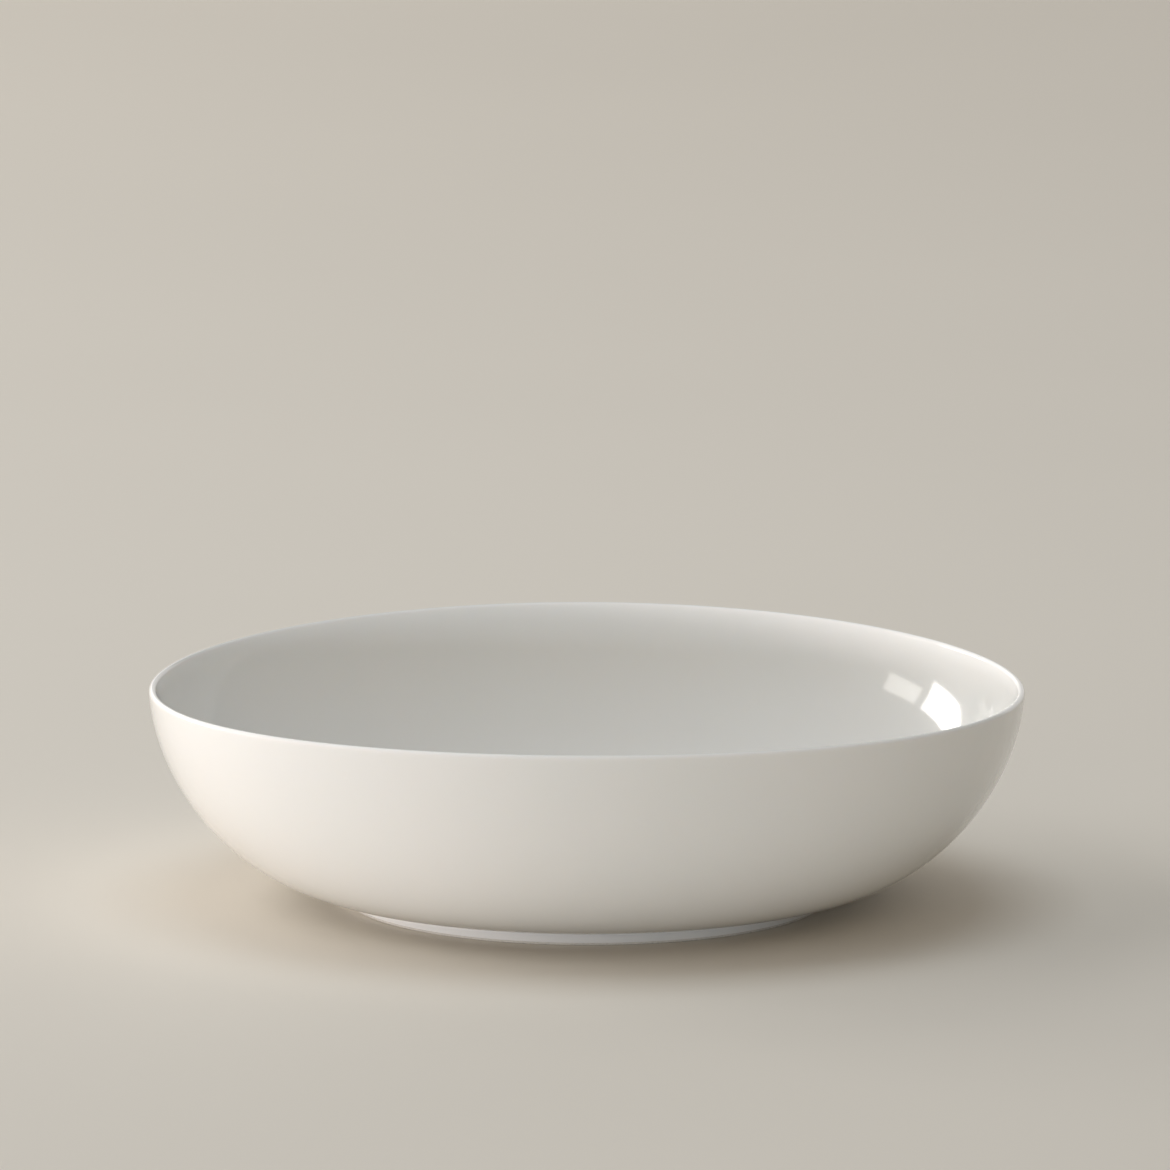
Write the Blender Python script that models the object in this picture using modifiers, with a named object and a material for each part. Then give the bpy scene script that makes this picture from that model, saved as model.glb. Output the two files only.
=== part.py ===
"""Oval porcelain serving bowl on a low foot ring.

Metres, +Z up. The bowl stands on Z = 0 with its centre on the Z axis and its length along X. The plan is
an oval, and the rim rises a little from the two ends of the length to the middle of each long side.
"""

import math

import bmesh
import bpy

# Sizes of the body
BOWL_LENGTH = 0.3204  # over the rim, along X
BOWL_WIDTH = 0.298  # over the rim, along Y
END_HEIGHT = 0.0788  # from the table to the rim at the two ends of the length
RIM_RISE = 0.0037  # how much higher the rim stands at the middle of each long side
LIP_THICKNESS = 0.0023  # of the wall at the very rim
WALL_THICKNESS = 0.0036  # of the side wall below the lip
FLOOR_THICKNESS = 0.0046  # at the middle of the floor
HEEL_THICKNESS = 0.0060  # over the foot ring, where the floor turns up into the side
LIP_DEPTH = 0.022  # the height over which the wall thins towards the lip
SIDE_REACH = 0.0328  # how far the side keeps its upright direction below the rim
UNDERSIDE_REACH = 0.0412  # how far the underside keeps its level direction beyond the foot
RIM_FLARE = math.radians(2.0)  # of the side from upright, at the rim
CENTRE_LIFT = 0.0006  # how much the underside is raised at its centre

# Sizes of the foot
FOOT_LENGTH = 0.1758  # outside, along X
FOOT_WIDTH = 0.1674  # outside, along Y
FOOT_HEIGHT = 0.0052  # from the table to the underside of the body
FOOT_WALL = 0.0052  # thickness of the foot ring where it joins the body
FOOT_LAND = 0.0030  # thickness of the foot ring at the table
FOOT_FILLET = 0.0016  # radius of the curve between the foot ring and the underside
EDGE_HEIGHT = 0.0009  # height of the unglazed edge
EDGE_ROUNDING = 0.0005  # radius of the unglazed edge at the table

JOINT_GAP = 0.0003  # kept between two pieces that touch

# Fineness of the surfaces
TURN_STEPS = 72
SIDE_STEPS = 12
FLOOR_STEPS = 3
FILLET_STEPS = 3
LIP_STEPS = 3
ROUNDING_SHARE = 0.45  # of the lip's thickness that each of its rounded edges takes
LIP_EDGE_ANGLE = math.radians(50.0)
SMOOTH_ANGLE = math.radians(40.0)
MERGE_DISTANCE = 0.00001

# Finishes: base colour, roughness
GLAZE = ((0.83, 0.81, 0.76, 1.0), 0.10)
BARE_PORCELAIN = ((0.78, 0.75, 0.69, 1.0), 0.65)


def clear_scene():
    """Removes every object, so that the model stands alone."""
    for obj in list(bpy.data.objects):
        bpy.data.objects.remove(obj, do_unlink=True)


def new_collection(name):
    """Returns a new collection in the scene."""
    collection = bpy.data.collections.new(name)
    bpy.context.scene.collection.children.link(collection)
    return collection


def new_material(name, finish):
    """Returns a Principled material with the finish's colour and roughness."""
    colour, roughness = finish
    material = bpy.data.materials.new(name)
    material.use_nodes = True
    shader = material.node_tree.nodes["Principled BSDF"]
    shader.inputs["Base Color"].default_value = colour
    shader.inputs["Roughness"].default_value = roughness
    shader.inputs["Metallic"].default_value = 0.0
    material.diffuse_color = colour
    return material


def bezier(points, t):
    """Returns the (radius, height) on a cubic curve at t, from 0 to 1."""
    weights = ((1 - t) ** 3, 3 * t * (1 - t) ** 2, 3 * t * t * (1 - t), t**3)
    return tuple(sum(w * point[axis] for w, point in zip(weights, points)) for axis in (0, 1))


def arc(centre, radius, start, end, steps):
    """Returns points on an arc from one angle to the other, both in radians and both included."""
    angles = [start + (end - start) * step / steps for step in range(steps + 1)]
    return [(centre[0] + radius * math.cos(a), centre[1] + radius * math.sin(a)) for a in angles]


def side_rise():
    """Returns the height of the body's end above its own underside."""
    return END_HEIGHT - FOOT_HEIGHT


def outside_profile():
    """Returns the body's outer outline at an end of the length, from the rim down to the centre."""
    rim = (BOWL_LENGTH / 2, side_rise())
    foot = (FOOT_LENGTH / 2, 0.0)
    below_rim = (
        rim[0] - SIDE_REACH * math.sin(RIM_FLARE),
        rim[1] - SIDE_REACH * math.cos(RIM_FLARE),
    )
    beside_foot = (foot[0] + UNDERSIDE_REACH, 0.0)
    curve = (rim, below_rim, beside_foot, foot)
    side = [bezier(curve, step / SIDE_STEPS) for step in range(SIDE_STEPS + 1)]
    floor = []
    for step in range(1, FLOOR_STEPS + 1):
        share = step / FLOOR_STEPS
        floor.append((foot[0] * (1 - share), CENTRE_LIFT * share**2))
    return side + floor


def foot_outline():
    """Returns the closed outline of the foot ring above its unglazed edge."""
    outer = FOOT_LENGTH / 2
    inner = outer - FOOT_WALL
    low = EDGE_HEIGHT + JOINT_GAP
    top = FOOT_HEIGHT - JOINT_GAP
    flare = math.radians(65.0)
    height = top - FOOT_FILLET * math.sin(flare)
    outside = arc((outer + FOOT_FILLET, height), FOOT_FILLET, math.pi - flare, math.pi, FILLET_STEPS)
    inside = arc((inner - FOOT_FILLET, height), FOOT_FILLET, 0.0, flare, FILLET_STEPS)
    return outside + [(outer, low), (outer - FOOT_LAND, low)] + inside


def edge_outline():
    """Returns the closed outline of the unglazed edge."""
    outer = FOOT_LENGTH / 2
    inner = outer - FOOT_LAND
    size = EDGE_ROUNDING
    down = math.radians(-90.0)
    outside = arc((outer - size, size), size, 0.0, down, FILLET_STEPS)
    inside = arc((inner + size, size), size, down, 2 * down, FILLET_STEPS)
    return [(outer, EDGE_HEIGHT)] + outside + inside + [(inner, EDGE_HEIGHT)]


def turned_mesh(name, profile, closed):
    """Returns the mesh made by turning a profile of (radius, height) points once round the Z axis."""
    mesh = bpy.data.meshes.new(name)
    count = len(profile)
    edges = [(i, i + 1) for i in range(count - 1)]
    if closed:
        edges.append((count - 1, 0))
    mesh.from_pydata([(radius, 0.0, height) for radius, height in profile], edges, [])
    blank = bpy.data.objects.new(name + "_blank", mesh)
    bpy.context.scene.collection.objects.link(blank)
    screw = blank.modifiers.new("turn", "SCREW")
    screw.axis = "Z"
    screw.angle = math.radians(360.0)
    screw.steps = TURN_STEPS
    screw.render_steps = TURN_STEPS
    screw.use_merge_vertices = True
    screw.merge_threshold = MERGE_DISTANCE
    graph = bpy.context.evaluated_depsgraph_get()
    turned = bpy.data.meshes.new_from_object(blank.evaluated_get(graph))
    bpy.data.objects.remove(blank, do_unlink=True)
    bpy.data.meshes.remove(mesh)
    turned.name = name
    return turned


def foot_half_width(radius):
    """Returns the half width of the foot's oval whose half length is the radius."""
    return radius + (FOOT_WIDTH - FOOT_LENGTH) / 2


def body_half_width(radius):
    """Returns the half width of the body's oval whose half length is the radius."""
    foot_length, foot_width = FOOT_LENGTH / 2, FOOT_WIDTH / 2
    rim_length, rim_width = BOWL_LENGTH / 2, BOWL_WIDTH / 2
    if radius < foot_length:
        return radius * foot_width / foot_length
    share = (radius - foot_length) / (rim_length - foot_length)
    return foot_width + share * (rim_width - foot_width)


def make_oval(mesh, half_width):
    """Narrows a turned mesh along Y into an oval, whose half width is a function of its half length."""
    for vertex in mesh.vertices:
        radius = math.hypot(vertex.co.x, vertex.co.y)
        if radius > MERGE_DISTANCE:
            vertex.co.y *= half_width(radius) / radius


def raise_long_sides(mesh):
    """Lifts the wall towards the middle of each long side, by nothing at the foot and fully at the rim."""
    for vertex in mesh.vertices:
        x = vertex.co.x / (BOWL_LENGTH / 2)
        y = vertex.co.y / (BOWL_WIDTH / 2)
        across = math.hypot(x, y)
        if across < MERGE_DISTANCE:
            continue
        up = max(vertex.co.z / side_rise(), 0.0)
        vertex.co.z += RIM_RISE * up**2 * (y / across) ** 2


def wall_at(radius, height):
    """Returns the thickness of the body at a point of its outer outline."""
    foot = FOOT_LENGTH / 2
    if radius < foot:
        return FLOOR_THICKNESS + (HEEL_THICKNESS - FLOOR_THICKNESS) * (radius / foot) ** 2
    below_rim = side_rise() - height
    if below_rim < LIP_DEPTH:
        share = math.sin(math.radians(90.0) * below_rim / LIP_DEPTH)
        return LIP_THICKNESS + (WALL_THICKNESS - LIP_THICKNESS) * share
    share = 1 - height / (side_rise() - LIP_DEPTH)
    return WALL_THICKNESS + (HEEL_THICKNESS - WALL_THICKNESS) * share**2


def thicken(obj, thicknesses):
    """Gives the open outer surface its wall, thin at the lip and thick at the heel, with a rounded lip."""
    thickest = max(thicknesses)
    group = obj.vertex_groups.new(name="wall")
    for index, thickness in enumerate(thicknesses):
        group.add([index], thickness / thickest, "REPLACE")
    wall = obj.modifiers.new("wall", "SOLIDIFY")
    wall.thickness = thickest
    wall.offset = -1.0
    wall.use_even_offset = True
    wall.vertex_group = group.name
    wall.thickness_vertex_group = 0.0
    lip = obj.modifiers.new("lip", "BEVEL")
    lip.width = LIP_THICKNESS * ROUNDING_SHARE
    lip.segments = LIP_STEPS
    lip.limit_method = "ANGLE"
    lip.angle_limit = LIP_EDGE_ANGLE


def new_part(mesh, material, collection, parent, height):
    """Returns an object for the mesh, with its own origin this high on the bowl's axis."""
    mesh.materials.clear()
    mesh.materials.append(material)
    mesh.shade_smooth()
    obj = bpy.data.objects.new(mesh.name, mesh)
    collection.objects.link(obj)
    obj.parent = parent
    obj.location.z = height
    return obj


def face_outwards(mesh):
    """Turns the faces of a closed mesh outwards."""
    work = bmesh.new()
    work.from_mesh(mesh)
    bmesh.ops.recalc_face_normals(work, faces=work.faces)
    work.to_mesh(mesh)
    work.free()


def make_body(collection, parent):
    """Builds the shell of the bowl: its side, rim, underside and floor."""
    mesh = turned_mesh("bowl_body", outside_profile(), closed=False)
    thicknesses = [wall_at(math.hypot(v.co.x, v.co.y), v.co.z) for v in mesh.vertices]
    make_oval(mesh, body_half_width)
    raise_long_sides(mesh)
    body = new_part(mesh, new_material("glazed_body", GLAZE), collection, parent, FOOT_HEIGHT)
    thicken(body, thicknesses)
    return body


def make_ring(name, outline, material, collection, parent):
    """Builds one closed ring of the foot from its outline."""
    mesh = turned_mesh(name, outline, closed=True)
    make_oval(mesh, foot_half_width)
    face_outwards(mesh)
    ring = new_part(mesh, material, collection, parent, 0.0)
    ring.data.set_sharp_from_angle(angle=SMOOTH_ANGLE)
    return ring


def main():
    """Builds the bowl."""
    clear_scene()
    parts = new_collection("porcelain_serving_bowl")
    centre = bpy.data.objects.new("bowl_centre", None)
    parts.objects.link(centre)
    make_body(parts, centre)
    make_ring("foot_ring", foot_outline(), new_material("glazed_foot", GLAZE), parts, centre)
    make_ring("foot_edge", edge_outline(), new_material("bare_edge", BARE_PORCELAIN), parts, centre)


main()
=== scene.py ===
"""Looks of a wide, low porcelain serving bowl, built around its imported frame.

The formed body, the foot ring and the bare standing edge are modelled ring by ring, glazed with procedural
materials and lit by a window on the left and soft fill from the room. All sizes are in metres.
"""

import logging
import math
from dataclasses import dataclass, field
from enum import Enum

import bpy
from mathutils import Matrix, Vector


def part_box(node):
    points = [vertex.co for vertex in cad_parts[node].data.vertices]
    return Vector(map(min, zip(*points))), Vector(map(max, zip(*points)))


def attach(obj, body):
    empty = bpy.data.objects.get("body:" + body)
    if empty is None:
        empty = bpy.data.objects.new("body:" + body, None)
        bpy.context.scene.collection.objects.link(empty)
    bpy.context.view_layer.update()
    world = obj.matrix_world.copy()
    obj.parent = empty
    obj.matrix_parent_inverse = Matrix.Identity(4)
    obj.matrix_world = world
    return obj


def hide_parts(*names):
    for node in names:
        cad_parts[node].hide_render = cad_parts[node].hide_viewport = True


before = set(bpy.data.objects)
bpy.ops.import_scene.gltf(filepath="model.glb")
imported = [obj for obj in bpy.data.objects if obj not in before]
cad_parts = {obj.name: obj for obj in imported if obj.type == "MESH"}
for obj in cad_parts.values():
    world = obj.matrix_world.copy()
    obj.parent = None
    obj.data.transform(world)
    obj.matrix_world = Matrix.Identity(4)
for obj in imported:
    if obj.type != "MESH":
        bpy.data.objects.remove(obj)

LOG = logging.getLogger("serving_bowl")
NEAR_ZERO = 1e-6
AXIS_REACH = 0.01
CLEAR_IOR = 1.5

Colour = tuple[float, float, float]
Point = tuple[float, float]


class CadNode(Enum):
    """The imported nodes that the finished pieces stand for."""

    BODY = "bowl_body"
    FOOT = "foot_ring"
    EDGE = "foot_edge"


class Slot(Enum):
    """The record's material slots."""

    BODY_GLAZE = "body_glaze"
    FOOT_GLAZE = "foot_glaze"
    BARE = "bare_porcelain"


class Closing(Enum):
    """How a run of rings becomes one closed surface."""

    POLES = "both ends drawn in to a point"
    LOOP = "last ring joined to the first"


# ---------------------------------------------------------------------------------------------
# Shaping
# ---------------------------------------------------------------------------------------------


@dataclass(frozen=True)
class Ring:
    """One oval ring of a surface that goes round the bowl's axis."""

    half_length: float
    half_width: float
    height: float


def bezier(points: tuple[Point, Point, Point, Point], t: float) -> Point:
    """Finds a point on a cubic curve.

    Args:
        points: The curve's start, its two handles and its end, each a radius and a height.
        t: The place along the curve, from 0 to 1.

    Returns:
        The radius and height there.
    """
    weights = ((1 - t) ** 3, 3 * t * (1 - t) ** 2, 3 * t * t * (1 - t), t**3)
    radius = sum(w * p[0] for w, p in zip(weights, points))
    height = sum(w * p[1] for w, p in zip(weights, points))
    return radius, height


def arc(centre: Point, radius: float, start: float, end: float, steps: int) -> list[Point]:
    """Places points along an arc.

    Args:
        centre: The arc's centre, as a radius from the axis and a height.
        radius: The arc's own radius.
        start: The first angle, in degrees from the outward direction.
        end: The last angle, in degrees.
        steps: How many steps the arc takes.

    Returns:
        The points, with both ends.
    """
    angles = [math.radians(start + (end - start) * step / steps) for step in range(steps + 1)]
    return [(centre[0] + radius * math.cos(a), centre[1] + radius * math.sin(a)) for a in angles]


class RingModeller:
    """Models a surface as by hand: a circle is added, then extruded and scaled ring after ring."""

    def __init__(self, segments: int) -> None:
        """Keeps how many segments each ring has."""
        self.segments = segments

    def model(self, name: str, rings: list[Ring], closing: Closing) -> bpy.types.Object:
        """Models one closed piece from its rings.

        Args:
            name: The name of the finished piece.
            rings: The rings in order along the surface.
            closing: How the run of rings is closed.

        Returns:
            The finished mesh object, at the origin, with its faces outwards.
        """
        piece = self._first_ring(name, rings[0])
        for before, after in zip(rings, rings[1:]):
            self._extrude(before, after)
        if closing is Closing.POLES:
            self._draw_in(piece, rings)
        else:
            self._extrude(rings[-1], rings[0])
            bpy.ops.mesh.select_all(action="SELECT")
            bpy.ops.mesh.remove_doubles(threshold=NEAR_ZERO)
        bpy.ops.mesh.select_all(action="SELECT")
        bpy.ops.mesh.normals_make_consistent(inside=False)
        bpy.ops.object.mode_set(mode="OBJECT")
        bpy.ops.object.shade_smooth()
        return piece

    def _first_ring(self, name: str, ring: Ring) -> bpy.types.Object:
        """Adds the circle that the surface starts from and makes it oval.

        Args:
            name: The name of the piece.
            ring: The ring's size and height.

        Returns:
            The new object, left in edit mode with the ring selected.
        """
        bpy.ops.object.select_all(action="DESELECT")
        bpy.ops.mesh.primitive_circle_add(
            vertices=self.segments, radius=ring.half_length, fill_type="NOTHING", location=(0, 0, ring.height)
        )
        piece = bpy.context.object
        piece.name = name
        piece.data.name = name
        bpy.ops.object.transform_apply(location=True, rotation=True, scale=True)
        bpy.ops.object.mode_set(mode="EDIT")
        bpy.ops.mesh.select_all(action="SELECT")
        self._scale(1.0, ring.half_width / ring.half_length)
        return piece

    def _scale(self, along: float, across: float) -> None:
        """Scales the selected ring about the bowl's axis."""
        bpy.ops.transform.resize(value=(along, across, 1.0), center_override=(0.0, 0.0, 0.0))

    def _extrude(self, before: Ring, after: Ring) -> None:
        """Extrudes the selected ring to the next one.

        Args:
            before: The ring that is selected.
            after: The ring to make.
        """
        rise = {"value": (0.0, 0.0, after.height - before.height)}
        bpy.ops.mesh.extrude_edges_move(TRANSFORM_OT_translate=rise)
        self._scale(after.half_length / before.half_length, after.half_width / before.half_width)

    def _draw_in(self, piece: bpy.types.Object, rings: list[Ring]) -> None:
        """Draws the first and the last ring in to a point on the axis.

        Args:
            piece: The object in edit mode, with its last ring selected.
            rings: Its rings.
        """
        bpy.ops.mesh.merge(type="CENTER")
        bpy.ops.mesh.select_all(action="DESELECT")
        bpy.ops.object.mode_set(mode="OBJECT")
        reach = (rings[0].half_length + rings[1].half_length) / 2
        for vertex in piece.data.vertices:
            near = math.hypot(vertex.co.x, vertex.co.y) < reach
            level = abs(vertex.co.z - rings[0].height) < reach / 4
            vertex.select = near and level
        bpy.ops.object.mode_set(mode="EDIT")
        bpy.ops.mesh.select_mode(type="VERT")
        bpy.ops.mesh.merge(type="CENTER")


# ---------------------------------------------------------------------------------------------
# Finishes
# ---------------------------------------------------------------------------------------------


class NodeSheet:
    """A node tree with short ways to add and join nodes."""

    def __init__(self, tree: bpy.types.NodeTree) -> None:
        """Keeps the tree that nodes are added to."""
        self.tree = tree

    def add(self, kind: str, **settings: object) -> bpy.types.Node:
        """Adds a node.

        Args:
            kind: The node's type, without its ShaderNode prefix.
            **settings: Properties to set on the node.

        Returns:
            The new node.
        """
        node = self.tree.nodes.new("ShaderNode" + kind)
        for key, value in settings.items():
            setattr(node, key, value)
        return node

    def join(self, source: bpy.types.NodeSocket, target: bpy.types.NodeSocket) -> None:
        """Links one socket to another."""
        self.tree.links.new(source, target)

    def math(
        self, operation: str, first: object, second: object = 0.0, clamp: bool = False
    ) -> bpy.types.NodeSocket:
        """Adds a math node whose inputs are sockets or numbers.

        Args:
            operation: The math operation.
            first: A socket or a number.
            second: A socket or a number.
            clamp: Whether the result is kept between 0 and 1.

        Returns:
            The node's output.
        """
        node = self.add("Math", operation=operation, use_clamp=clamp)
        for target, value in zip(node.inputs, (first, second)):
            self._feed(value, target)
        return node.outputs[0]

    def ramp(self, value: object, low: object, high: object) -> bpy.types.NodeSocket:
        """Maps a value smoothly from 0 at low to 1 at high.

        Args:
            value: The socket to map.
            low: The value that gives 0.
            high: The value that gives 1.

        Returns:
            The mapped value.
        """
        node = self.add("MapRange", interpolation_type="SMOOTHSTEP")
        for key, number in (("Value", value), ("From Min", low), ("From Max", high)):
            self._feed(number, node.inputs[key])
        return node.outputs["Result"]

    def mix(self, amount: object, first: object, second: object) -> bpy.types.NodeSocket:
        """Mixes two colours.

        Args:
            amount: A socket or number, 0 for the first colour and 1 for the second.
            first: A socket or a colour.
            second: A socket or a colour.

        Returns:
            The mixed colour.
        """
        node = self.add("Mix", data_type="RGBA")
        self._feed(amount, node.inputs[0])
        self._feed(first, node.inputs[6])
        self._feed(second, node.inputs[7])
        return node.outputs[2]

    def noise(
        self, place: bpy.types.NodeSocket, size: float, detail: float, roughness: float
    ) -> bpy.types.NodeSocket:
        """Adds a noise whose lumps are about this size.

        Args:
            place: The coordinates.
            size: The size of a lump, in metres.
            detail: How many finer layers it has.
            roughness: How strong the finer layers are.

        Returns:
            The noise's value, from 0 to 1.
        """
        node = self.add("TexNoise")
        node.inputs["Scale"].default_value = 1.0 / size
        node.inputs["Detail"].default_value = detail
        node.inputs["Roughness"].default_value = roughness
        self.join(place, node.inputs["Vector"])
        return node.outputs["Fac"]

    def _feed(self, value: object, target: bpy.types.NodeSocket) -> None:
        """Links a socket to the target, or sets the target to a number or colour.

        Args:
            value: A socket, a number or a colour.
            target: The input that takes it.
        """
        if isinstance(value, bpy.types.NodeSocket):
            self.join(value, target)
        elif isinstance(value, tuple):
            target.default_value = (*value, 1.0)
        else:
            target.default_value = value


def new_group(
    name: str, inputs: dict[str, object], outputs: dict[str, str]
) -> tuple[NodeSheet, bpy.types.Node, bpy.types.Node]:
    """Starts a shader node group.

    Args:
        name: The group's name.
        inputs: Each input's name and default, a number, a colour, or None for coordinates.
        outputs: Each output's name and socket type.

    Returns:
        A sheet for the group's nodes, the node that holds its inputs, and the one that takes its outputs.
    """
    tree = bpy.data.node_groups.new(name, "ShaderNodeTree")
    for label, default in inputs.items():
        if default is None:
            tree.interface.new_socket(label, in_out="INPUT", socket_type="NodeSocketVector")
        elif isinstance(default, tuple):
            socket = tree.interface.new_socket(label, in_out="INPUT", socket_type="NodeSocketColor")
            socket.default_value = (*default, 1.0)
        else:
            socket = tree.interface.new_socket(label, in_out="INPUT", socket_type="NodeSocketFloat")
            socket.default_value = default
    for label, kind in outputs.items():
        tree.interface.new_socket(label, in_out="OUTPUT", socket_type=kind)
    sheet = NodeSheet(tree)
    return sheet, tree.nodes.new("NodeGroupInput"), tree.nodes.new("NodeGroupOutput")


@dataclass(frozen=True)
class EffectSizes:
    """The sizes of lumps and marks in the shared effects, in metres, and where their masks begin and end."""

    wave: float = 0.022
    peel: float = 0.0035
    pits_per_metre: float = 45.0
    pit_edge: tuple[float, float] = (0.012, 0.004)
    pit_patch: float = 0.050
    pit_rarity: float = 0.58
    cloud: float = 0.070
    cloud_edge: tuple[float, float] = (0.3, 0.7)
    scuff_patch: float = 0.012
    scuff_patch_edge: tuple[float, float] = (0.35, 0.65)
    scuff_grain: float = 0.0012
    scuff_grain_edge: tuple[float, float] = (0.35, 0.75)


class SharedEffects:
    """The node groups that more than one finish uses, each built once."""

    def __init__(self, sizes: EffectSizes) -> None:
        """Builds the groups.

        Args:
            sizes: The sizes of their lumps and marks.
        """
        self.sizes = sizes
        self.relief = self._glaze_relief()
        self.tone = self._glaze_tone()
        self.scuffs = self._scuffs()

    def _glaze_relief(self) -> bpy.types.NodeTree:
        """Builds the relief of a fired surface: slow waves, fine orange peel and rare pinholes.

        Returns:
            A group that puts out a height in metres.
        """
        inputs = {"Place": None, "Wave": 0.00002, "Peel": 0.000001, "Pit": 0.00002}
        sheet, given, made = new_group("Glaze relief", inputs, {"Height": "NodeSocketFloat"})
        place = given.outputs["Place"]
        wave = sheet.math("MULTIPLY", sheet.noise(place, self.sizes.wave, 1.0, 0.4), given.outputs["Wave"])
        peel = sheet.math("MULTIPLY", sheet.noise(place, self.sizes.peel, 1.0, 0.5), given.outputs["Peel"])
        cells = sheet.add("TexVoronoi", feature="F1", distance="EUCLIDEAN")
        cells.inputs["Scale"].default_value = self.sizes.pits_per_metre
        sheet.join(place, cells.inputs["Vector"])
        patches = sheet.noise(place, self.sizes.pit_patch, 0.0, 0.0)
        rare = sheet.math("GREATER_THAN", patches, self.sizes.pit_rarity)
        hole = sheet.math("MULTIPLY", sheet.ramp(cells.outputs["Distance"], *self.sizes.pit_edge), rare)
        pit = sheet.math("MULTIPLY", hole, given.outputs["Pit"])
        height = sheet.math("SUBTRACT", sheet.math("ADD", wave, peel), pit)
        sheet.join(height, made.inputs["Height"])
        return sheet.tree

    def _glaze_tone(self) -> bpy.types.NodeTree:
        """Builds the colour of glazed porcelain: cloudy white, cooler where it pools, and lighter and
        slightly warmer under the Lip mask, which paints a highlight along the body's rim and marks a lighter
        band at the foot's glaze edge.

        Returns:
            A group that puts out a colour.
        """
        inputs = {
            "Place": None,
            "White": (0.8, 0.8, 0.8),
            "Pooled": (0.7, 0.75, 0.75),
            "Lighter": (0.9, 0.85, 0.8),
            "Cloud": 0.5,
            "Pool": 0.0,
            "Lip": 0.0,
        }
        sheet, given, made = new_group("Glaze tone", inputs, {"Color": "NodeSocketColor"})
        place = given.outputs["Place"]
        cloud = sheet.ramp(sheet.noise(place, self.sizes.cloud, 2.0, 0.5), *self.sizes.cloud_edge)
        cloudy = sheet.math("MULTIPLY", cloud, given.outputs["Cloud"])
        pool = sheet.math("MAXIMUM", cloudy, given.outputs["Pool"])
        colour = sheet.mix(pool, given.outputs["White"], given.outputs["Pooled"])
        colour = sheet.mix(given.outputs["Lip"], colour, given.outputs["Lighter"])
        sheet.join(colour, made.inputs["Color"])
        return sheet.tree

    def _scuffs(self) -> bpy.types.NodeTree:
        """Builds fine dull marks where porcelain slides on a table.

        Returns:
            A group that puts out a mask from 0 to 1.
        """
        inputs = {"Place": None, "Low": 0.0, "High": 0.001, "Amount": 0.5}
        sheet, given, made = new_group("Scuffs", inputs, {"Mask": "NodeSocketFloat"})
        place = given.outputs["Place"]
        height = sheet.add("SeparateXYZ")
        sheet.join(place, height.inputs["Vector"])
        near = sheet.ramp(height.outputs["Z"], given.outputs["High"], given.outputs["Low"])
        sizes = self.sizes
        patchy = sheet.ramp(sheet.noise(place, sizes.scuff_patch, 3.0, 0.6), *sizes.scuff_patch_edge)
        fine = sheet.ramp(sheet.noise(place, sizes.scuff_grain, 2.0, 0.7), *sizes.scuff_grain_edge)
        mask = sheet.math("MULTIPLY", sheet.math("MULTIPLY", patchy, fine), near)
        marks = sheet.math("MULTIPLY", mask, given.outputs["Amount"], clamp=True)
        sheet.join(marks, made.inputs["Mask"])
        return sheet.tree


@dataclass(frozen=True)
class PrincipledLook:
    """The constant values of a Principled shader."""

    roughness: float
    specular: float
    coat: float
    coat_roughness: float
    subsurface: float
    subsurface_depth: float
    subsurface_radius: Colour = (1.0, 0.9, 0.75)

    def apply(self, shader: bpy.types.Node) -> None:
        """Sets the values on the shader's own sockets.

        Args:
            shader: The Principled shader.
        """
        shader.inputs["Roughness"].default_value = self.roughness
        shader.inputs["Metallic"].default_value = 0.0
        shader.inputs["IOR"].default_value = CLEAR_IOR
        shader.inputs["Specular IOR Level"].default_value = self.specular
        shader.inputs["Coat Weight"].default_value = self.coat
        shader.inputs["Coat Roughness"].default_value = self.coat_roughness
        shader.inputs["Coat IOR"].default_value = CLEAR_IOR
        shader.inputs["Subsurface Weight"].default_value = self.subsurface
        shader.inputs["Subsurface Radius"].default_value = self.subsurface_radius
        shader.inputs["Subsurface Scale"].default_value = self.subsurface_depth


class MaterialSheet(NodeSheet):
    """A new material with its Principled shader, its output and its object coordinates."""

    def __init__(self, name: str, look: PrincipledLook) -> None:
        """Makes the material.

        Args:
            name: The material's name.
            look: The constant values of its shader.
        """
        self.material = bpy.data.materials.new(name)
        self.material.use_nodes = True
        super().__init__(self.material.node_tree)
        self.tree.nodes.clear()
        self.shader = self.add("BsdfPrincipled")
        self.join(self.shader.outputs["BSDF"], self.add("OutputMaterial").inputs["Surface"])
        look.apply(self.shader)
        self.place = self.add("TexCoord").outputs["Object"]
        parts = self.add("SeparateXYZ")
        self.join(self.place, parts.inputs["Vector"])
        self.x, self.y, self.z = (parts.outputs[axis] for axis in "XYZ")

    def group(self, tree: bpy.types.NodeTree, **values: object) -> bpy.types.NodeSocket:
        """Places a shared effect with this material's own values.

        Args:
            tree: The effect's node group.
            **values: Its inputs by name, with Place joined already.

        Returns:
            The group's output.
        """
        node = self.add("Group", node_tree=tree)
        self.join(self.place, node.inputs["Place"])
        for label, value in values.items():
            self._feed(value, node.inputs[label])
        return node.outputs[0]

    def bump(self, height: bpy.types.NodeSocket) -> None:
        """Turns the shader's surface by a relief.

        Args:
            height: The relief's height, in metres.
        """
        node = self.add("Bump")
        node.inputs["Strength"].default_value = 1.0
        node.inputs["Distance"].default_value = 1.0
        self.join(height, node.inputs["Height"])
        self.join(node.outputs["Normal"], self.shader.inputs["Normal"])


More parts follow.
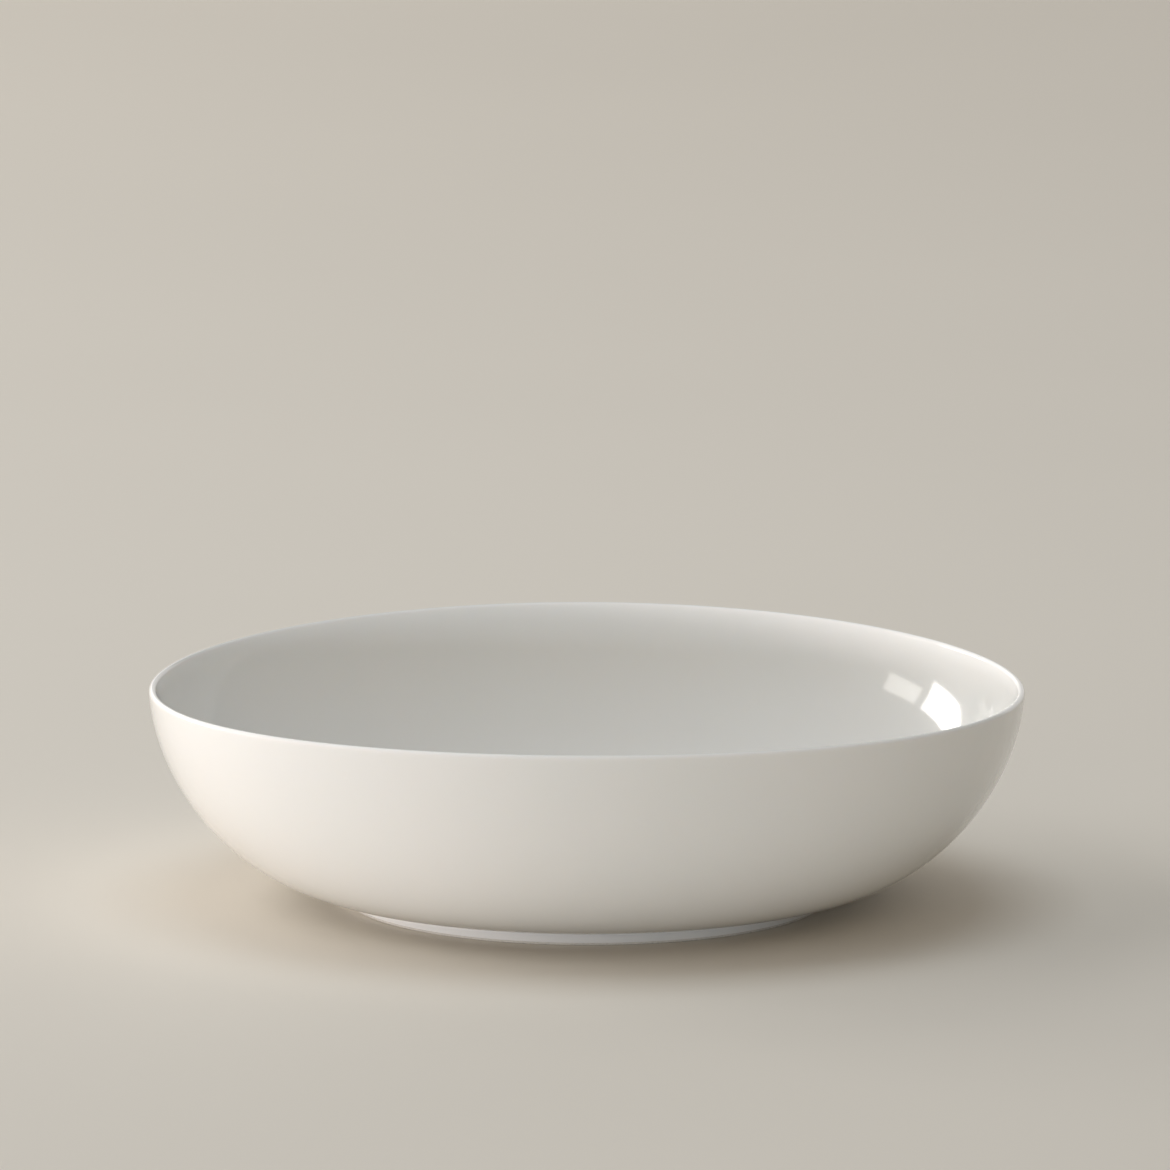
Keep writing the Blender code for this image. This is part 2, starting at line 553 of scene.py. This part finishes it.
@dataclass(frozen=True)
class Glaze:
    """Clear gloss glaze over white porcelain."""

    white: Colour = (0.88, 0.868, 0.838)
    pooled: Colour = (0.855, 0.86, 0.835)
    # Lighter, slightly warmer white: a painted highlight along the rim, and a lighter band at the foot's
    # lower glaze edge.
    lighter: Colour = (0.90, 0.885, 0.855)
    cloud: float = 0.35
    wave: float = 0.000160
    peel: float = 0.0000012
    pit: float = 0.00003
    roughness_spread: float = 0.06
    uneven_size: float = 0.020
    dull_roughness: float = 0.3
    dull_loss: float = 0.8
    look: PrincipledLook = PrincipledLook(0.35, 0.12, 1.0, 0.07, 0.12, 0.002)

    def start(self, name: str, effects: SharedEffects) -> MaterialSheet:
        """Makes the material with its relief.

        Args:
            name: The material's name.
            effects: The shared node groups.

        Returns:
            The material's sheet, with no colour joined yet.
        """
        sheet = MaterialSheet(name, self.look)
        sheet.bump(sheet.group(effects.relief, Wave=self.wave, Peel=self.peel, Pit=self.pit))
        return sheet

    def tone(self, sheet: MaterialSheet, effects: SharedEffects, **masks: object) -> bpy.types.NodeSocket:
        """Places the glaze's colour, with masks for where it pools and where it is lighter: a painted
        highlight on the rim, a lighter band on the foot.
        """
        colours = {"White": self.white, "Pooled": self.pooled, "Lighter": self.lighter}
        return sheet.group(effects.tone, Cloud=self.cloud, **colours, **masks)

    def gloss(self, sheet: MaterialSheet, dull: object = 0.0) -> None:
        """Joins a roughness that varies slightly over the surface and rises on dull marks.

        Args:
            sheet: The material's sheet.
            dull: A mask of dull marks, or none.
        """
        lumps = sheet.noise(sheet.place, self.uneven_size, 3.0, 0.6)
        uneven = sheet.math("MULTIPLY", lumps, self.roughness_spread)
        base = sheet.math("ADD", uneven, self.look.roughness - self.roughness_spread / 2)
        worn = sheet.math("ADD", base, sheet.math("MULTIPLY", dull, self.dull_roughness), clamp=True)
        sheet.join(worn, sheet.shader.inputs["Roughness"])
        lost = sheet.math("MULTIPLY", dull, self.dull_loss)
        coat = sheet.math("SUBTRACT", self.look.coat, lost, clamp=True)
        sheet.join(coat, sheet.shader.inputs["Coat Weight"])


@dataclass(frozen=True)
class BarePorcelain:
    """Unglazed porcelain, ground smooth on the foot's standing edge."""

    clay: Colour = (0.70, 0.67, 0.61)
    grain: Colour = (0.58, 0.55, 0.50)
    rubbed: Colour = (0.42, 0.40, 0.37)
    grain_size: float = 0.0006
    grain_edge: tuple[float, float] = (0.35, 0.7)
    grain_height: float = 0.00003
    grain_roughness: float = 0.12
    rubbed_gloss: float = 0.2
    scuff_low: float = 0.0001
    scuff_high: float = 0.0006
    scuff_amount: float = 0.6
    look: PrincipledLook = PrincipledLook(0.62, 0.4, 0.0, 0.5, 0.05, 0.001)

    def material(self, name: str, effects: SharedEffects) -> bpy.types.Material:
        """Makes the material.

        Args:
            name: The material's name.
            effects: The shared node groups.

        Returns:
            The material.
        """
        sheet = MaterialSheet(name, self.look)
        grain = sheet.ramp(sheet.noise(sheet.place, self.grain_size, 4.0, 0.7), *self.grain_edge)
        scuffs = sheet.group(
            effects.scuffs, Low=self.scuff_low, High=self.scuff_high, Amount=self.scuff_amount
        )
        colour = sheet.mix(grain, self.clay, self.grain)
        sheet.join(sheet.mix(scuffs, colour, self.rubbed), sheet.shader.inputs["Base Color"])
        coarse = sheet.math("MULTIPLY", grain, self.grain_roughness)
        rough = sheet.math("SUBTRACT", coarse, sheet.math("MULTIPLY", scuffs, self.rubbed_gloss))
        rough = sheet.math("ADD", rough, self.look.roughness, clamp=True)
        sheet.join(rough, sheet.shader.inputs["Roughness"])
        sheet.bump(sheet.math("MULTIPLY", grain, self.grain_height))
        return sheet.material


@dataclass(frozen=True)
class BaseMark:
    """A plain printed device under the glaze of the underside: two rings round a four-petalled flower."""

    ink: Colour = (0.22, 0.27, 0.26)
    outer_ring: float = 0.0140
    inner_ring: float = 0.0122
    line: float = 0.00022
    flower: float = 0.0078
    petals: float = 4.0
    petal_fullness: float = 0.6
    strength: float = 0.75
    fade: tuple[float, float] = (0.0010, 0.0006)
    print_grain: float = 0.0008
    print_edge: tuple[float, float] = (0.25, 0.45)

    def mask(self, sheet: MaterialSheet, underside: float) -> bpy.types.NodeSocket:
        """Draws the device.

        Args:
            sheet: The material's sheet.
            underside: The highest point of the underside.

        Returns:
            A mask that is strongest where there is ink.
        """
        squares = [sheet.math("MULTIPLY", axis, axis) for axis in (sheet.x, sheet.y)]
        radius = sheet.math("SQRT", sheet.math("ADD", *squares))
        turn = sheet.math("ARCTAN2", sheet.y, sheet.x)
        outer, inner = (self._line(sheet, radius, at) for at in (self.outer_ring, self.inner_ring))
        rings = sheet.math("MAXIMUM", outer, inner)
        lobes = sheet.math("ABSOLUTE", sheet.math("COSINE", sheet.math("MULTIPLY", turn, self.petals / 2)))
        edge = sheet.math("MULTIPLY", sheet.math("POWER", lobes, self.petal_fullness), self.flower)
        petal = self._line(sheet, sheet.math("SUBTRACT", radius, edge), 0.0)
        drawn = sheet.math("MAXIMUM", rings, petal)
        drawn = sheet.math("MAXIMUM", drawn, sheet.ramp(radius, self.line * 4, self.line * 3))
        below = sheet.ramp(sheet.z, *(underside + rise for rise in self.fade))
        worn = sheet.ramp(sheet.noise(sheet.place, self.print_grain, 2.0, 0.6), *self.print_edge)
        inked = sheet.math("MULTIPLY", sheet.math("MULTIPLY", drawn, below), worn)
        return sheet.math("MULTIPLY", inked, self.strength)

    def _line(self, sheet: MaterialSheet, distance: object, at: float) -> bpy.types.NodeSocket:
        """Draws a fine line where the distance is at a value."""
        away = sheet.math("ABSOLUTE", sheet.math("SUBTRACT", distance, at))
        return sheet.ramp(away, self.line, self.line * 0.5)


# ---------------------------------------------------------------------------------------------
# The bowl
# ---------------------------------------------------------------------------------------------


@dataclass
class Foot:
    """The outer oval of the foot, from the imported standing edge, and its section's sizes."""

    half_length: float
    half_width: float
    height: float
    wall: float = 0.0052
    land: float = 0.0030
    fillet: float = 0.0019
    edge_height: float = 0.0009
    edge_rounding: float = 0.0005
    glaze_depth: float = 0.00012
    glaze_roll: float = 0.00030
    tuck: float = 0.00008
    fillet_cut: float = 2.0
    fillet_steps: int = 10
    roll_steps: int = 5
    edge_steps: int = 8

    def ring(self, point: Point) -> Ring:
        """Turns a point of the section at an end of the length into an oval ring."""
        return Ring(point[0], point[0] + self.half_width - self.half_length, point[1])

    def glazed_section(self) -> list[Point]:
        """Draws the section of the glazed ring, from the outer fillet down, round and up the inside.

        Returns:
            Its points, as a radius along the length and a height.
        """
        outer, inner = self.half_length, self.half_length - self.wall
        low, top, size, roll = self.edge_height, self.height, self.fillet, self.glaze_roll
        foot_inner = outer - self.land
        cut, steps = self.fillet_cut, self.fillet_steps
        outside = arc((outer + size, top - size), size, 90.0 + cut, 180.0, steps)
        inside = arc((inner - size, top - size), size, 0.0, 90.0 - cut, steps)
        outer_roll = arc((outer - roll, low + roll), roll, 0.0, -90.0, self.roll_steps)
        inner_roll = arc((foot_inner + roll, low + roll), roll, -90.0, -180.0, self.roll_steps)
        tucked = [(inside[-1][0], top + self.tuck), (outside[0][0], top + self.tuck)]
        return outside + outer_roll + inner_roll + inside + tucked

    def bare_section(self) -> list[Point]:
        """Draws the section of the unglazed edge, set in by the depth of the glaze.

        Returns:
            Its points, as a radius along the length and a height.
        """
        outer = self.half_length - self.glaze_depth
        inner = self.half_length - self.land + self.glaze_depth
        size, top = self.edge_rounding, self.edge_height + self.glaze_roll
        outside = arc((outer - size, size), size, 0.0, -90.0, self.edge_steps)
        inside = arc((inner + size, size), size, -90.0, -180.0, self.edge_steps)
        return [(outer, top)] + outside + inside + [(inner, top)]


@dataclass
class FormedBody:
    """The formed body of the bowl: its floor, side, thin rounded lip and underside."""

    half_length: float
    half_width: float
    top: float
    foot: Foot
    rim_rise: float = 0.0037
    lip_thickness: float = 0.0023
    wall_thickness: float = 0.0036
    floor_thickness: float = 0.0046
    heel_thickness: float = 0.0060
    lip_depth: float = 0.022
    side_reach: float = 0.0328
    underside_reach: float = 0.0412
    rim_flare: float = math.radians(2.0)
    centre_lift: float = 0.0006
    past_crown: float = -0.00025
    lip_swell: float = 0.0007
    swell_depth: float = 0.0058
    side_steps: int = 56
    rim_closeness: float = 0.35
    floor_steps: int = 14
    lip_steps: int = 12
    pool_depths: tuple[float, float] = (0.030, 0.004)
    pool_amount: float = 0.6
    lip_fade: float = 0.2
    glaze: Glaze = field(default_factory=Glaze)
    mark: BaseMark = field(default_factory=BaseMark)

    @property
    def underside(self) -> float:
        """The height of the underside where it meets the foot."""
        return self.foot.height

    @property
    def end_height(self) -> float:
        """The height where the side's curve ends at the two ends, just past the lip's crown."""
        return self.top - self.rim_rise + self.past_crown

    def _curve(self) -> tuple[Point, Point, Point, Point]:
        """Sets out the curve of the outer side.

        Returns:
            Its rim end, its two handles and its foot end.
        """
        rim = (self.half_length, self.end_height)
        low_rim = (
            rim[0] - self.side_reach * math.sin(self.rim_flare),
            rim[1] - self.side_reach * math.cos(self.rim_flare),
        )
        foot = (self.foot.half_length, self.underside)
        return rim, low_rim, (foot[0] + self.underside_reach, foot[1]), foot

    def _thickness(self, radius: float, height: float) -> float:
        """Finds the wall's thickness.

        Args:
            radius: The radius of the outer surface along the length.
            height: Its height.

        Returns:
            The thickness there.
        """
        foot = self.foot.half_length
        if radius < foot:
            return self.floor_thickness + (self.heel_thickness - self.floor_thickness) * (radius / foot) ** 2
        below_rim = self.end_height - height
        if below_rim < self.lip_depth:
            share = math.sin(math.pi / 2 * below_rim / self.lip_depth)
            swell = self.lip_swell * (1 - max(0.0, 1 - below_rim / self.swell_depth) ** 2)
            rest = self.wall_thickness - self.lip_thickness - self.lip_swell
            return self.lip_thickness + swell + rest * share
        share = 1 - (height - self.underside) / (self.end_height - self.underside - self.lip_depth)
        return self.wall_thickness + (self.heel_thickness - self.wall_thickness) * share**2

    def _outside(self) -> list[Point]:
        """Draws the outer surface, close rings near the rim and wider ones towards the foot.

        Returns:
            Its points from just under the lip to the centre, as a radius along the length and a height.
        """
        curve = self._curve()
        start = self.lip_thickness / 2 / (3 * self.side_reach)
        close, side = self.rim_closeness, []
        for step in range(self.side_steps + 1):
            share = step / self.side_steps
            side.append(bezier(curve, start + (1 - start) * share * (close + (1 - close) * share)))
        floor = []
        for step in range(1, self.floor_steps + 1):
            share = step / (self.floor_steps + 0.5)
            floor.append((curve[3][0] * (1 - share), curve[3][1] + self.centre_lift * share**2))
        return side + floor

    def _inside(self, outside: list[Point]) -> list[Point]:
        """Draws the inner surface, a wall's thickness inside the outer one.

        Args:
            outside: The points of the outer surface.

        Returns:
            As many points of the inner surface, from the lip to the centre.
        """
        inner = []
        for index, point in enumerate(outside):
            before, after = outside[max(index - 1, 0)], outside[min(index + 1, len(outside) - 1)]
            along = Vector((after[0] - before[0], after[1] - before[1])).normalized()
            wall = self._thickness(*point)
            inner.append((point[0] + along.y * wall, point[1] - along.x * wall))
        return inner

    def _lip(self, inner: Point, outer: Point) -> list[Point]:
        """Draws the rounded lip.

        Args:
            inner: The first point of the inner surface.
            outer: The first point of the outer surface.

        Returns:
            The lip's points from the inner to the outer surface, without its ends.
        """
        centre = Vector(((inner[0] + outer[0]) / 2, (inner[1] + outer[1]) / 2))
        across = Vector(outer) - centre
        up = Vector((-across.y, across.x))
        angles = [math.pi * (1 - step / self.lip_steps) for step in range(1, self.lip_steps)]
        return [tuple(centre + across * math.cos(a) + up * math.sin(a)) for a in angles]

    def _ring(self, point: Point) -> Ring:
        """Turns a point of the outline at an end of the length into an oval ring.

        Args:
            point: The point's radius along the length and its height.

        Returns:
            The ring.
        """
        foot_length, foot_width = self.foot.half_length, self.foot.half_width
        if point[0] < foot_length:
            return Ring(point[0], point[0] * foot_width / foot_length, point[1])
        share = (point[0] - foot_length) / (self.half_length - foot_length)
        return Ring(point[0], foot_width + share * (self.half_width - foot_width), point[1])

    def _raise_long_sides(self, piece: bpy.types.Object) -> None:
        """Lifts the wall towards the middle of each long side, not at the foot and fully at the rim.

        Args:
            piece: The modelled body.
        """
        for vertex in piece.data.vertices:
            x, y = vertex.co.x / self.half_length, vertex.co.y / self.half_width
            across = math.hypot(x, y)
            if across > AXIS_REACH:
                up = (vertex.co.z - self.underside) / (self.end_height - self.underside)
                vertex.co.z += self.rim_rise * max(up, 0.0) ** 2 * (y / across) ** 2

    def build(self, modeller: RingModeller) -> bpy.types.Object:
        """Models the body.

        Args:
            modeller: The modeller to use.

        Returns:
            The finished body.
        """
        outside = self._outside()
        inside = self._inside(outside)
        lip = self._lip(inside[0], outside[0])
        outline = inside[::-1] + lip + outside
        piece = modeller.model("glazed_body", [self._ring(point) for point in outline], Closing.POLES)
        self._raise_long_sides(piece)
        return piece

    def dress(self, piece: bpy.types.Object, effects: SharedEffects) -> None:
        """Glazes the body: pooled at the heel, painted lighter over the lip as a highlight along the rim,
        with the printed mark underneath.

        Args:
            piece: The modelled body.
            effects: The shared node groups.
        """
        sheet = self.glaze.start("Body glaze", effects)
        # Paints a lighter, slightly warmer highlight along the rim.
        lip = self._rim_highlight_mask(sheet)
        pool = sheet.ramp(sheet.z, *(self.underside + depth for depth in self.pool_depths))
        pooled = sheet.math("MULTIPLY", pool, self.pool_amount)
        colour = self.glaze.tone(sheet, effects, Pool=pooled, Lip=lip)
        mark = self.mark.mask(sheet, self.underside + self.centre_lift)
        sheet.join(sheet.mix(mark, colour, self.mark.ink), sheet.shader.inputs["Base Color"])
        self.glaze.gloss(sheet)
        piece.data.materials.append(sheet.material)

    def _rim_highlight_mask(self, sheet: MaterialSheet) -> bpy.types.NodeSocket:
        """Finds where the rim's painted highlight goes: over the lip, which rises towards the long sides.

        Args:
            sheet: The material's sheet.

        Returns:
            A mask that is 1 on the lip.
        """
        x = sheet.math("DIVIDE", sheet.x, self.half_length)
        y = sheet.math("DIVIDE", sheet.y, self.half_width)
        x_square, y_square = sheet.math("MULTIPLY", x, x), sheet.math("MULTIPLY", y, y)
        both = sheet.math("ADD", sheet.math("ADD", x_square, y_square), NEAR_ZERO)
        share = sheet.math("DIVIDE", y_square, both)
        rim = sheet.math("ADD", sheet.math("MULTIPLY", share, self.rim_rise), self.end_height)
        below = sheet.math("SUBTRACT", rim, sheet.z)
        return sheet.ramp(below, self.lip_thickness, self.lip_thickness * self.lip_fade)


@dataclass
class FootRing:
    """The glazed foot ring and the bare edge it stands on."""

    foot: Foot
    glaze: Glaze = field(default_factory=Glaze)
    bare: BarePorcelain = field(default_factory=BarePorcelain)
    thin_depth: float = 0.0006
    pool_amount: float = 0.8
    scuff_low: float = 0.0012
    scuff_high: float = 0.0020
    scuff_amount: float = 0.5

    def build_ring(self, modeller: RingModeller) -> bpy.types.Object:
        """Models the glazed ring with its fillets to the underside."""
        rings = [self.foot.ring(point) for point in self.foot.glazed_section()]
        return modeller.model("glazed_foot_ring", rings, Closing.LOOP)

    def build_edge(self, modeller: RingModeller) -> bpy.types.Object:
        """Models the bare standing edge."""
        rings = [self.foot.ring(point) for point in self.foot.bare_section()]
        return modeller.model("bare_standing_edge", rings, Closing.LOOP)

    def dress_ring(self, piece: bpy.types.Object, effects: SharedEffects) -> None:
        """Glazes the ring, with glaze pooled in its fillets and dull marks near the table.

        Args:
            piece: The modelled ring.
            effects: The shared node groups.
        """
        sheet = self.glaze.start("Foot glaze", effects)
        top = self.foot.height
        pool = sheet.ramp(sheet.z, top - self.foot.fillet, top)
        lighter = sheet.ramp(sheet.z, self.foot.edge_height + self.thin_depth, self.foot.edge_height)
        scuffs = sheet.group(
            effects.scuffs, Low=self.scuff_low, High=self.scuff_high, Amount=self.scuff_amount
        )
        pooled = sheet.math("MULTIPLY", pool, self.pool_amount)
        colour = self.glaze.tone(sheet, effects, Pool=pooled, Lip=lighter)
        sheet.join(colour, sheet.shader.inputs["Base Color"])
        self.glaze.gloss(sheet, scuffs)
        piece.data.materials.append(sheet.material)

    def dress_edge(self, piece: bpy.types.Object, effects: SharedEffects) -> None:
        """Gives the edge its bare porcelain."""
        piece.data.materials.append(self.bare.material("Bare porcelain", effects))


# ---------------------------------------------------------------------------------------------
# The studio
# ---------------------------------------------------------------------------------------------


@dataclass(frozen=True)
class SoftLight:
    """A rectangular light panel that faces a point and isn't seen directly.

    It hangs at a distance from that point, at a height angle and at a turn from the bowl's right, in degrees.
    """

    name: str
    turn: float
    rise: float
    distance: float
    aim: tuple[float, float, float]
    width: float
    height: float
    power: float
    colour: Colour
    mirrored: bool

    def _place(self) -> Vector:
        """Finds where the panel hangs.

        Returns:
            Its middle, to the nearest millimetre.
        """
        turn, rise = math.radians(self.turn), math.radians(self.rise)
        way = (math.cos(rise) * math.cos(turn), math.cos(rise) * math.sin(turn), math.sin(rise))
        return Vector([round(start + self.distance * share, 3) for start, share in zip(self.aim, way)])

    def build(self) -> bpy.types.Object:
        """Adds the light.

        Returns:
            The light's object.
        """
        lamp = bpy.data.lights.new(self.name, "AREA")
        lamp.shape = "RECTANGLE"
        lamp.size, lamp.size_y = self.width, self.height
        lamp.energy = self.power
        lamp.color = self.colour
        panel = bpy.data.objects.new(self.name, lamp)
        panel.location = self._place()
        away = panel.location - Vector(self.aim)
        panel.rotation_euler = away.to_track_quat("Z", "Y").to_euler()
        panel.visible_camera = False
        panel.visible_glossy = self.mirrored
        bpy.context.scene.collection.objects.link(panel)
        return panel


@dataclass(frozen=True)
class Studio:
    """The pale floor, the soft light and the camera."""

    floor_radius: float = 9.0
    floor_colour: Colour = (0.74, 0.69, 0.615)
    sky: Colour = (1.0, 0.97, 0.92)
    sky_strength: float = 0.27
    distance: float = 5.0
    elevation: float = math.radians(11.43)
    roll: float = math.radians(0.1425)
    anchor_height: float = 0.040
    look_above: float = 0.07537
    look_left: float = 0.00061
    lens: float = 420.26
    sensor: float = 36.0
    nearest: float = 0.1
    farthest: float = 60.0
    floor_sides: int = 96
    tone_size: float = 0.5
    tone_edge: tuple[float, float] = (0.2, 0.8)
    tone_gain: float = 1.02

    def build_floor(self) -> bpy.types.Object:
        """Lays the floor.

        Returns:
            The floor.
        """
        bpy.ops.object.select_all(action="DESELECT")
        bpy.ops.mesh.primitive_circle_add(
            vertices=self.floor_sides, radius=self.floor_radius, fill_type="NGON"
        )
        floor = bpy.context.object
        floor.name = "studio_floor"
        sheet = MaterialSheet("Pale floor", PrincipledLook(0.75, 0.3, 0.0, 0.5, 0.0, 0.001))
        tone = sheet.ramp(sheet.noise(sheet.place, self.tone_size, 2.0, 0.5), *self.tone_edge)
        paler = tuple(value * self.tone_gain for value in self.floor_colour)
        sheet.join(sheet.mix(tone, self.floor_colour, paler), sheet.shader.inputs["Base Color"])
        floor.data.materials.append(sheet.material)
        return floor

    def build_lights(self) -> None:
        """Hangs the window light on the left and the soft fills, and sets the pale room."""
        middle, inner_wall = (0.0, 0.0, 0.05), (0.13, 0.07, 0.06)
        lights = (
            SoftLight(
                "window_main", 151.0, 12.5, 4.0, inner_wall, 1.70, 0.63, 36.0, (1.0, 0.97, 0.92), True
            ),
            SoftLight(
                "window_side", 174.0, 14.2, 4.0, inner_wall, 0.98, 0.37, 5.0, (1.0, 0.96, 0.90), True
            ),
            SoftLight(
                "window_sheer", 122.0, 26.0, 4.0, inner_wall, 3.23, 2.45, 24.0, (1.0, 0.98, 0.94), True
            ),
            SoftLight(
                "left_skim", 183.0, 2.0, 3.0, middle, 1.61, 0.18, 36.0, (1.0, 0.89, 0.85), False
            ),
            SoftLight(
                "front_skim", 245.0, 2.0, 3.0, middle, 1.72, 0.18, 19.0, (0.78, 0.87, 1.0), False
            ),
            SoftLight(
                "overhead", 0.0, 90.0, 2.75, middle, 1.6, 1.6, 20.0, (0.80, 0.90, 1.0), False
            ),
            SoftLight(
                "left_wall", 180.0, 42.0, 4.0, middle, 3.73, 2.14, 32.0, (0.95, 0.97, 1.0), False
            ),
            SoftLight(
                "front_wall", 265.0, 20.0, 4.0, middle, 3.73, 0.98, 12.5, (1.0, 0.76, 0.44), False
            ),
            SoftLight(
                "back_wall", 87.14, 10.84, 6.117, middle, 9.0, 2.4, 34.0, (1.0, 0.95, 0.90), True
            ),
        )
        for light in lights:
            light.build()
        world = bpy.data.worlds.new("pale_room")
        world.use_nodes = True
        background = world.node_tree.nodes["Background"]
        background.inputs["Color"].default_value = (*self.sky, 1.0)
        background.inputs["Strength"].default_value = self.sky_strength
        bpy.context.scene.world = world

    def build_camera(self) -> bpy.types.Object:
        """Sets the camera up in front of the bowl.

        Returns:
            The camera.
        """
        slope, turn = self.elevation, self.roll
        right = Vector((1.0, 0.0, 0.0))
        up = Vector((0.0, math.sin(slope), math.cos(slope)))
        right, up = right * math.cos(turn) + up * math.sin(turn), up * math.cos(turn) - right * math.sin(turn)
        anchor = Vector((0.0, 0.0, self.anchor_height))
        place = anchor + Vector((0.0, -math.cos(slope), math.sin(slope))) * self.distance
        target = anchor + up * self.look_above - right * self.look_left
        back = (place - target).normalized()
        right = up.cross(back).normalized()
        turned = Matrix((right, back.cross(right), back)).transposed()
        lens = bpy.data.cameras.new("camera")
        lens.lens = self.lens
        lens.sensor_width = self.sensor
        lens.clip_start, lens.clip_end = self.nearest, self.farthest
        camera = bpy.data.objects.new("camera", lens)
        camera.matrix_world = Matrix.Translation(place) @ turned.to_4x4()
        bpy.context.scene.collection.objects.link(camera)
        bpy.context.scene.camera = camera
        return camera


# ---------------------------------------------------------------------------------------------
# Putting it together
# ---------------------------------------------------------------------------------------------


def settle(piece: bpy.types.Object, node: CadNode) -> None:
    """Fixes a finished piece to the bowl and reports it.

    Args:
        piece: The finished piece.
        node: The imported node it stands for.
    """
    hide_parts(node.value)
    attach(piece, "root")
    LOG.info("%s stands for %s, %d faces", piece.name, node.value, len(piece.data.polygons))


def main() -> None:
    """Builds the bowl, its finishes and the studio."""
    logging.basicConfig(level=logging.INFO, format="%(message)s")
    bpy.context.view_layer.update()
    body_low, body_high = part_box(CadNode.BODY.value)
    edge_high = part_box(CadNode.EDGE.value)[1]
    foot = Foot(half_length=edge_high.x, half_width=edge_high.y, height=body_low.z)
    body = FormedBody(half_length=body_high.x, half_width=body_high.y, top=body_high.z, foot=foot)
    foot_ring = FootRing(foot)
    effects = SharedEffects(EffectSizes())
    modeller = RingModeller(segments=256)

    piece = body.build(modeller)
    body.dress(piece, effects)
    settle(piece, CadNode.BODY)
    piece = foot_ring.build_ring(modeller)
    foot_ring.dress_ring(piece, effects)
    settle(piece, CadNode.FOOT)
    piece = foot_ring.build_edge(modeller)
    foot_ring.dress_edge(piece, effects)
    settle(piece, CadNode.EDGE)

    studio = Studio()
    studio.build_floor()
    studio.build_lights()
    studio.build_camera()
    bpy.context.scene.view_settings.view_transform = "Standard"


if __name__ == "__main__":
    main()
